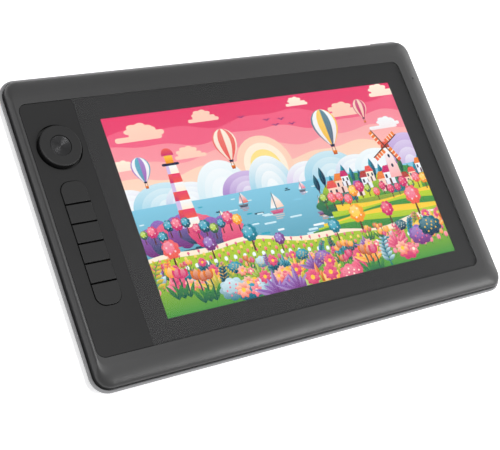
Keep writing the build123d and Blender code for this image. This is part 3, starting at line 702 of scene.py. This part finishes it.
def land(level, swings, start=0.0, end=WIDE, steps=64):
    """Ground from the bottom edge up to a wavy line. Each swing is (height, waves, shift)."""
    line = []
    for step in range(steps + 1):
        u = start + (end - start) * step / steps
        rise = sum(height * math.sin(waves * u / WIDE * math.tau + shift)
                   for height, waves, shift in swings)
        line.append((u, level + rise))
    return line + [(end, 0.0), (start, 0.0)]


def dome(start, end, base, rise, steps=22):
    """A round hill that stands on the line v = base."""
    middle, half, fullness = (start + end) / 2, (end - start) / 2, 0.8
    arc = [math.pi * step / steps for step in range(steps + 1)]
    return [(middle - half * math.cos(a), base + rise * math.sin(a) ** fullness) for a in arc]


# %% Make the sky
lay(pane(0, 0, WIDE, HIGH), rose, hot_pink)
sky_bands = ((8.15, rose, paint(242, 96, 130)), (7.45, blush, paint(248, 140, 156)),
             (6.75, peach, blush), (6.1, cream, peach))
for number, (level, foot, top) in enumerate(sky_bands):
    lay(land(level, [(0.16, 2.3, number), (0.09, 5.2, number * 2.1)]), foot, top)
for radius, colour in ((1.5, peach), (1.15, cream), (0.82, paint(255, 228, 140))):
    lay(oval(7.3, 5.75, radius * 2, radius * 2, 28), colour)
for u, v, size in ((1.6, 7.9, 1.0), (4.9, 8.35, 0.7), (12.6, 7.7, 0.9), (10.1, 8.5, 0.55),
                   (15.2, 8.45, 0.8), (3.6, 6.75, 0.7), (14.9, 6.75, 0.75), (0.3, 6.6, 0.6)):
    tint = chance.choice((cream, peach, snow))
    for row in range(3):
        lay(pill(u + chance.uniform(-0.35, 0.35) * size, v + 0.17 * row * size,
                 (2.3 - 0.6 * row) * size, 0.24 * size), blend(blush, tint, 0.7 + 0.1 * row), tint)
    lay(lobed(u, v + 0.34 * size, 1.5 * size, 0.75 * size, 7, 0.2), blend(blush, tint, 0.8), tint)
print("sky", len(motifs), "outlines")

# %% Make the far hills and the balloons
hill_tints = ((lilac, snow), (pale_blue, ice), (blend(lilac, pale_blue, 0.5), snow), (ice, snow),
              (violet, lilac), (pale_blue, snow))
for number in range(11):
    start = -1.2 + 1.5 * number + chance.uniform(-0.3, 0.3)
    wide = chance.uniform(2.4, 3.4)
    rise = chance.uniform(0.9, 1.9)
    foot, top = hill_tints[number % len(hill_tints)]
    for ring in range(4):
        share = 1 - 0.24 * ring
        middle = start + wide / 2
        lay(dome(middle - wide / 2 * share, middle + wide / 2 * share, 4.4, rise * share + 0.3),
            blend(foot, top, 0.28 * ring), blend(top, snow, 0.2 * ring))


def balloon(u, v, size, colours):
    """A hot air balloon with six gores, a skirt and a basket."""
    shares = ((-1.45, 0.2), (-1.1, 0.5), (-0.7, 0.78), (-0.3, 0.95), (0.1, 1.0), (0.45, 0.9),
              (0.75, 0.66), (0.93, 0.36), (1.0, 0.02))
    gores = 6
    for gore in range(gores):
        edges = []
        for side in (gore, gore + 1):
            swing = math.sin(math.pi * (side / gores - 0.5))
            edges.append([(u + size * girth * swing, v + size * height)
                          for height, girth in shares])
        colour = colours[gore % len(colours)]
        lay(edges[0] + edges[1][::-1], blend(colour, magenta, 0.18), blend(colour, snow, 0.12))
    lay(block(u, v - size * 1.45, size * 0.2, v - size * 1.62, size * 0.13), navy)
    for lean in (-0.11, 0.11):
        lay(post(u + size * lean, v - size * 1.6, v - size * 1.95, size * 0.04), brown)
    lay(block(u, v - size * 1.88, size * 0.18, v - size * 2.15, size * 0.14), rust, orange)


balloon(5.6, 7.2, 0.62, (coral, cream))
balloon(11.3, 7.35, 0.74, (teal, snow, yellow))
balloon(13.7, 7.95, 0.4, (magenta, peach))
balloon(1.1, 6.6, 0.46, (violet, snow, lagoon))
for u, v in ((8.6, 7.6), (9.0, 7.85), (8.2, 7.9), (9.5, 7.55), (6.9, 8.2)):
    for lean in (-1, 1):
        lay(ribbon([(u, v), (u + 0.12 * lean, v + 0.09), (u + 0.22 * lean, v + 0.05)],
                   [0.05, 0.04, 0.01]), plum)
print("hills and balloons", len(motifs), "outlines")

# %% Make the bay and its boats
lay(land(4.75, [(0.02, 3.0, 0.0)]), teal, pale_blue)
for number in range(120):
    v = 4.6 - 2.9 * chance.random() ** 0.8
    near = (4.75 - v) / 2.9
    u = chance.uniform(0, WIDE)
    wide = chance.uniform(0.25, 0.6) * (0.5 + 1.3 * near)
    tint = chance.choice((ice, snow, lagoon, pale_blue, deep_teal, ice))
    lay(pill(u, v, wide, 0.045 + 0.07 * near), tint)


def boat(u, v, size, hull, sail):
    """A boat with two sails and its reflection."""
    for row in range(3):
        lay(pill(u + size * 0.1 * (row % 2), v - size * (0.2 + 0.16 * row),
                 size * (1.1 - 0.25 * row), size * 0.08), blend(sail, lagoon, 0.4))
    lay([(u - size * 0.62, v + size * 0.16), (u + size * 0.66, v + size * 0.2),
         (u + size * 0.42, v - size * 0.12), (u - size * 0.42, v - size * 0.12)], hull,
        blend(hull, snow, 0.25))
    lay(post(u, v + size * 0.1, v + size * 1.55, size * 0.05), brown)
    lay([(u + size * 0.05, v + size * 0.3), (u + size * 0.72, v + size * 0.34),
         (u + size * 0.52, v + size * 0.9), (u + size * 0.05, v + size * 1.5)], sail, snow)
    lay([(u - size * 0.05, v + size * 0.32), (u - size * 0.5, v + size * 0.34),
         (u - size * 0.3, v + size * 0.8), (u - size * 0.05, v + size * 1.25)], snow, sail)


boat(5.4, 4.1, 0.42, navy, coral)
boat(7.0, 3.55, 0.6, magenta, peach)
boat(4.1, 3.35, 0.5, rust, yellow)
boat(8.7, 4.3, 0.32, navy, rose)
boat(9.4, 3.1, 0.55, plum, orange)
print("bay", len(motifs), "outlines")

# %% Build the village on the far shore
def house(u, v, width, height, wall, roof):
    """A small house with a roof, a door and two windows."""
    lay(pane(u, v, u + width, v + height), blend(wall, lilac, 0.3), wall)
    lay([(u - width * 0.12, v + height * 0.95), (u + width * 1.12, v + height * 0.95),
         (u + width * 0.8, v + height * 1.5), (u + width * 0.2, v + height * 1.5)],
        blend(roof, magenta, 0.3), roof)
    lay(pane(u + width * 0.4, v, u + width * 0.6, v + height * 0.45), brown)
    for share in (0.12, 0.68):
        lay(pane(u + width * share, v + height * 0.5,
                 u + width * (share + 0.2), v + height * 0.8), navy)


def round_tree(u, v, size, foot, top):
    """A tree like a ball of leaves on a stem."""
    lay(ribbon([(u, v - size * 0.1), (u, v + size * 0.9)], [size * 0.16, size * 0.08]), brown)
    lay(lobed(u, v + size * 1.1, size * 1.15, size * 1.2, 8, 0.16), foot, blend(foot, top, 0.5))
    lay(lobed(u - size * 0.1, v + size * 1.22, size * 0.75, size * 0.76, 7, 0.18), top,
        blend(top, snow, 0.2))
    for number in range(4):
        angle = 1.2 + 1.5 * number
        lay(oval(u + size * 0.28 * math.cos(angle), v + size * (1.1 + 0.28 * math.sin(angle)),
                 size * 0.13, size * 0.13, 7), blend(top, snow, 0.6))


def poplar(u, v, height, foot, top):
    """A tall narrow tree, darker on one side."""
    lay(post(u, v - height * 0.08, v + height * 0.2, height * 0.07), brown)
    lay(leaf(u, v, height, height * 0.34, math.pi / 2), foot, top)
    lay(leaf(u, v, height, height * 0.34, math.pi / 2, -1), blend(foot, navy, 0.4),
        blend(top, foot, 0.6))


lay(lobed(10.9, 3.4, 3.6, 1.5, 9, 0.1), deep_teal, leaf_green)
lay(lobed(13.8, 3.2, 6.4, 2.6, 11, 0.08), forest, lime)
for number in range(7):
    lay(dome(9.6 + number * 1.0, 12.0 + number * 1.0, 3.4, 1.15 + 0.2 * math.sin(number * 2.2)),
        *((leaf_green, lime), (teal, leaf_green), (lime, yellow))[number % 3])
for row in range(6):
    lay(land(3.3 - 0.2 * row, [(0.12, 2.1, 0.6 + row)], 10.2 - 0.35 * row, WIDE, 30),
        *((lime, yellow), (leaf_green, lime), (deep_teal, leaf_green))[row % 3])
for number in range(16):
    poplar(9.6 + 0.43 * number, 4.1 + 0.22 * math.sin(number * 1.7), chance.uniform(0.6, 1.15),
           *chance.choice(((navy, teal), (forest, leaf_green), (deep_teal, lagoon))))
roofs = (coral, orange, magenta, violet, rust)
for number in range(12):
    size = chance.uniform(0.42, 0.62)
    house(10.1 + 0.5 * number + chance.uniform(-0.1, 0.1), 3.55 + 0.3 * (number % 3), size,
          size * chance.uniform(0.8, 1.2), chance.choice((cream, snow, peach)), roofs[number % 5])
garden_tints = ((coral, rose), (magenta, hot_pink), (orange, yellow), (forest, lime))
for number in range(15):
    round_tree(9.7 + 0.44 * number, 3.15 + chance.uniform(-0.15, 0.35), chance.uniform(0.32, 0.5),
               *chance.choice(garden_tints))

# The windmill turns four lattice sails at the top of a white tower.
mill_u, mill_v = 14.3, 4.75
lay(block(mill_u, mill_v - 0.6, 0.34, mill_v + 0.95, 0.2), blush, snow)
lay(dome(mill_u - 0.27, mill_u + 0.27, mill_v + 0.92, 0.34, 10), rust, coral)
for height in (0.0, 0.5):
    lay(oval(mill_u, mill_v + height, 0.14, 0.2, 8), navy)
hub = Vector((mill_u, mill_v + 1.02))
for blade in range(4):
    tip, side = heading(0.5 + math.pi / 2 * blade)
    side *= 0.24
    root, end = hub + tip * 0.22, hub + tip * 1.0
    lay([root, end, end + side, root + side], coral, orange)
    for rung in range(3):
        foot = hub + tip * (0.42 + 0.2 * rung)
        lay(ribbon([foot, foot + side], [0.05, 0.05]), cream)
    lay(ribbon([hub, hub + tip * 1.04], [0.07, 0.05]), brown)
print("village", len(motifs), "outlines")

# %% Put the lighthouse on its rock
for number in range(9):
    lay(lobed(0.5 + 0.5 * number, 3.0 + 0.5 * math.sin(0.35 * number + 0.5), 1.5,
              1.3 + 0.3 * (number % 2), 5, 0.12, number),
        *((plum, violet), (deep_teal, violet), (magenta, rose))[number % 3])
tower_u, tower_low, tower_high = 2.55, 3.6, 6.5
courses = 7
for course in range(courses):
    low, high = course / courses, (course + 1) / courses
    wide_low, wide_high = 0.46 - 0.2 * low, 0.46 - 0.2 * high
    rise = tower_high - tower_low
    outline = block(tower_u, tower_low + rise * low, wide_low, tower_low + rise * high, wide_high)
    lay(outline, *((coral, hot_pink) if course % 2 else (cream, snow)))
    lay(outline[:1] + [(tower_u - wide_low * 0.45, outline[0][1]),
                       (tower_u - wide_high * 0.45, outline[3][1])] + outline[3:],
        *((magenta, coral) if course % 2 else (lilac, lilac)))
lay(pill(tower_u, tower_high + 0.03, 0.86, 0.12), navy)
lay(block(tower_u, tower_high + 0.08, 0.2, tower_high + 0.46, 0.2), orange, yellow)
lay(dome(tower_u - 0.3, tower_u + 0.3, tower_high + 0.44, 0.34, 10), magenta, coral)
rock_tints = ((forest, lime), (deep_teal, lagoon), (orange, yellow), (magenta, rose))
for number in range(12):
    round_tree(0.2 + 0.42 * number, 3.1 + chance.uniform(-0.3, 0.3), chance.uniform(0.34, 0.55),
               *chance.choice(rock_tints))
print("lighthouse", len(motifs), "outlines")

# %% Roll the near fields down to the water
lay(land(2.35, [(0.35, 0.9, 0.4), (0.1, 3.4, 1.0)]), peach, cream)
lay(land(2.15, [(0.35, 0.9, 0.4), (0.12, 3.1, 1.4)]), leaf_green, lime)
for row in range(7):
    for number in range(34):
        u = number * 0.48 + 0.24 * (row % 2) + chance.uniform(-0.05, 0.05)
        v = 2.2 - 0.2 * row + 0.35 * math.sin(0.9 * u / WIDE * math.tau + 0.4)
        size = 0.13 + 0.02 * row
        colour = (hot_pink, yellow, coral, snow, magenta, orange, rose)[row]
        lay(oval(u, v, size, size * 1.2, 7), colour, blend(colour, snow, 0.3))
        lay(post(u, v - size, v - size * 0.4, 0.03), forest)
field_trees = ((1.2, 2.0, 0.75), (3.1, 2.1, 0.6), (5.2, 2.1, 0.7), (11.2, 1.9, 0.8),
               (13.0, 2.0, 0.65), (14.8, 2.2, 0.85), (6.6, 1.8, 0.5), (9.7, 1.75, 0.6))
for number, spot_and_size in enumerate(field_trees):
    round_tree(*spot_and_size, *((coral, rose), (plum, violet), (teal, lagoon), (orange, yellow),
                                 (magenta, hot_pink))[number % 5])
print("fields", len(motifs), "outlines")

# %% Grow the plants in front
def fan(u, v, length, width, count, start, end, foot, top):
    """Leaves that spread from one root, each with a lighter half."""
    for number in range(count):
        turn = math.radians(start + (end - start) * number / max(count - 1, 1))
        reach = length * (0.8 + 0.2 * math.sin(number * 2.4))
        lay(leaf(u, v, reach, width, turn), foot, top)
        lay(leaf(u, v, reach, width * 0.9, turn, 1), blend(foot, top, 0.5), blend(top, snow, 0.25))


def frond(u, v, length, pairs, turn, foot, top):
    """A stem with leaves in pairs along it, smaller towards the tip."""
    way, side = heading(turn)
    spine = [Vector((u, v)) + way * length * s + side * length * 0.12 * math.sin(3 * s)
             for s in (0, 0.25, 0.5, 0.75, 1.0)]
    lay(ribbon(spine, [length * 0.045] * 4 + [length * 0.01]), foot)
    for pair in range(pairs):
        share = 0.15 + 0.8 * pair / pairs
        root = Vector((u, v)) + way * length * share + side * length * 0.12 * math.sin(3 * share)
        size = length * 0.34 * (1 - 0.55 * share)
        for lean in (-0.9, 0.9):
            lay(leaf(root.x, root.y, size, size * 0.42, turn + lean), foot, top)


def bloom(u, v, size, petals, foot, top, heart):
    """A flower seen from above."""
    for petal in range(petals):
        turn = math.tau * petal / petals + 0.3
        lay(leaf(u, v, size * 0.55, size * 0.36, turn), foot, top)
    lay(oval(u, v, size * 0.3, size * 0.3, 9), heart)


def tulip(u, v, height, foot, top):
    """A tulip with its stem and two leaves."""
    lay(ribbon([(u, v), (u + height * 0.04, v + height * 0.5), (u, v + height * 0.8)],
               [height * 0.05] * 3), forest)
    for lean in (0.55, -0.5):
        lay(leaf(u, v, height * 0.6, height * 0.14, math.pi / 2 + lean), forest, leaf_green)
    for lean in (0.42, -0.42, 0.0):
        lay(leaf(u, v + height * 0.68, height * 0.36, height * 0.2, math.pi / 2 + lean), foot,
            top if lean else blend(top, snow, 0.3))


def bush(u, v, size, foot, top, dots):
    """A low bush with a pattern of berries."""
    lay(lobed(u, v, size * 1.5, size * 1.1, 9, 0.15), foot, top)
    lay(lobed(u - size * 0.1, v + size * 0.12, size, size * 0.66, 8, 0.18), blend(foot, top, 0.6),
        blend(top, snow, 0.15))
    for number in range(9):
        reach, angle = size * 0.5 * math.sqrt((number + 0.5) / 9), 2.4 * number
        lay(oval(u + reach * math.cos(angle), v + reach * 0.7 * math.sin(angle),
                 size * 0.1, size * 0.1, 7), dots)


plant_tints = ((forest, lime), (deep_teal, lagoon), (navy, teal), (coral, yellow), (plum, violet),
               (magenta, rose), (rust, orange), (leaf_green, yellow), (teal, ice))
for row, (level, size) in enumerate(((1.35, 0.5), (0.95, 0.62), (0.5, 0.75), (0.05, 0.95))):
    step = size * 1.15
    for number in range(int(WIDE / step) + 2):
        u = number * step + chance.uniform(-0.2, 0.2)
        v = level + chance.uniform(-0.15, 0.2) + 0.022 * (u - WIDE / 2) ** 2 * (0.4 + 0.25 * row)
        root = v - size * 0.5
        foot, top = chance.choice(plant_tints)
        kind = chance.randrange(6)
        if kind == 0:
            bush(u, v, size, foot, top, chance.choice((cream, yellow, rose)))
        elif kind == 1:
            fan(u, root, size * 1.35, size * 0.3, 7, 25, 155, foot, top)
        elif kind == 2:
            frond(u, root, size * 1.6, 6, chance.uniform(1.1, 2.0), foot, top)
        elif kind == 3:
            for lean in (-0.3, 0.0, 0.3):
                tulip(u + lean * size, root, size * chance.uniform(1.2, 1.6),
                      *chance.choice(((magenta, hot_pink), (rust, orange), (orange, yellow))))
        elif kind == 4:
            lay(lobed(u, v - size * 0.2, size * 1.3, size * 0.9, 8, 0.2), foot, top)
            bloom(u - size * 0.3, v, size * 0.75, 8, coral, peach, yellow)
            bloom(u + size * 0.35, v - size * 0.15, size * 0.6, 6, hot_pink, blush, cream)
        else:
            fan(u, root, size * 1.1, size * 0.44, 5, 40, 140, foot, top)
            bloom(u, v + size * 0.4, size * 0.8, 9, magenta, rose, yellow)
print("plants", len(motifs), "outlines")

# %% [markdown]
# Constrained Delaunay triangulation cuts the whole pile of outlines at every crossing, and says
# for each small triangle which outlines lie over it. The one that was laid last gives the
# colour. It needs every outline to run the same way round, which is why lay() turns some of them.
# The panel's own edge is laid first, so the black rim round the lit area is part of the sheet.
# The open rim is then extruded down and closed, as by hand, to make the sheet a solid.

# %% Join the pile into one lit sheet
panel_low, panel_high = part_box("lcd_panel")
rim = 4.9 * MM
unit = (panel_high.x - panel_low.x - 2 * rim) / WIDE
border = rim / unit
panel_edge = [Vector(point) for point in pane(-border, -border, WIDE + border, HIGH + border)]
pile = [panel_edge] + [outline for outline, foot, top in motifs]
flat_points, rings = [], []
for outline in pile:
    rings.append(list(range(len(flat_points), len(flat_points) + len(outline))))
    flat_points += outline
inside_only, weld_reach = 1, 1e-5
cut_points, _, cut_faces, _, _, covers = delaunay_2d_cdt(
    flat_points, [], rings, inside_only, weld_reach, True)
kept = [(face, max(cover) if 1 in cover else 0)
        for face, cover in zip(cut_faces, covers) if 0 in cover]
lit_low = panel_low + Vector((rim, rim, 0))
used = sorted({corner for face, motif in kept for corner in face})
number_of = {corner: number for number, corner in enumerate(used)}
spots = [(lit_low.x + cut_points[corner].x * unit, lit_low.y + cut_points[corner].y * unit,
          panel_high.z) for corner in used]
sheet = bpy.data.meshes.new("lit_screen")
sheet.from_pydata(spots, [], [[number_of[corner] for corner in face] for face, motif in kept])
print("sheet", len(used), "points", len(kept), "triangles")

# %% Colour each triangle by its motif
spans = [(min(p.y for p in outline), max(p.y for p in outline)) for outline in pile]
levels = []
for face, motif in kept:
    for corner in face:
        colour = (0.0, 0.0, 0.0)
        if motif:
            low, high = spans[motif]
            foot, top = motifs[motif - 1][1:]
            colour = blend(foot, top, (cut_points[corner].y - low) / (high - low))
        levels += [*colour, 1.0]
shades = sheet.color_attributes.new("Picture", "FLOAT_COLOR", "CORNER")
shades.data.foreach_set("color", levels)
lit_screen = bpy.data.objects.new("lit_screen", sheet)
bpy.context.scene.collection.objects.link(lit_screen)

# %% Close the sheet into a solid
near_enough = 0.01 * MM


def on_rim(edge):
    """True where both ends of an edge lie on the same side of the panel."""
    ends = [sheet.vertices[corner].co for corner in edge.vertices]
    return any(all(abs(end[axis] - side[axis]) < near_enough for end in ends)
               for axis in (0, 1) for side in (panel_low, panel_high))


select_only(lit_screen)
bpy.ops.object.mode_set(mode="EDIT")
bpy.ops.mesh.select_mode(type="EDGE")
bpy.ops.mesh.select_all(action="DESELECT")
bpy.ops.object.mode_set(mode="OBJECT")
for edge in sheet.edges:
    edge.select = on_rim(edge)
bpy.ops.object.mode_set(mode="EDIT")
bpy.ops.mesh.extrude_region_move(
    TRANSFORM_OT_translate={"value": (0, 0, panel_low.z - panel_high.z)})
bpy.ops.mesh.edge_face_add()
bpy.ops.object.mode_set(mode="OBJECT")
sides = [face for face in sheet.polygons if face.normal.z < 0.5]
for face in sides:
    for corner in face.loop_indices:
        sheet.color_attributes["Picture"].data[corner].color = (0.0, 0.0, 0.0, 1.0)
print("closed with", len(sides), "faces, low z", round(min(v.co.z for v in sheet.vertices) / MM, 2))

# %% Unfold the sheet
# The front fills most of the map. The sides and the back are all black, so they share one strip.
flat_map = sheet.uv_layers.new(name="OFBake")
front_part = ((0.005, 0.05), (0.99, 0.94))
black_part = ((0.01, 0.01), (0.9, 0.02))
panel_size = panel_high - panel_low
spots = []
for face in sheet.polygons:
    start, span = front_part if face.normal.z > 0.5 else black_part
    for corner in face.vertices:
        place = sheet.vertices[corner].co - panel_low
        spots += [start[axis] + span[axis] * (place[axis] / panel_size[axis]) for axis in (0, 1)]
flat_map.data.foreach_set("uv", spots)
print("unfolded", len(spots) // 2, "corners")

# %% Light the picture
tree, shader = new_tree("screen_light")
picture = add(tree, "ShaderNodeVertexColor", {"layer_name": "Picture"})
drift = add(tree, "ShaderNodeTexNoise", Vector=place_on(tree), Scale=9.0, Detail=1.0)
level = add(tree, "ShaderNodeMapRange", Value=drift.outputs["Fac"], To_Min=0.94, To_Max=1.06)
lit = add(tree, "ShaderNodeVectorMath", {"operation": "SCALE"}, _0=picture.outputs["Color"],
          Scale=level.outputs[0])
fill(tree, shader, Emission_Color=lit.outputs[0], Emission_Strength=1.0, Roughness=0.6,
     Base_Color=(0.006, 0.006, 0.007, 1), Specular_IOR_Level=0.04)
sheet.materials.append(finishes["screen_light"])
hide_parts("lcd_panel")
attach(lit_screen, "tablet_body")
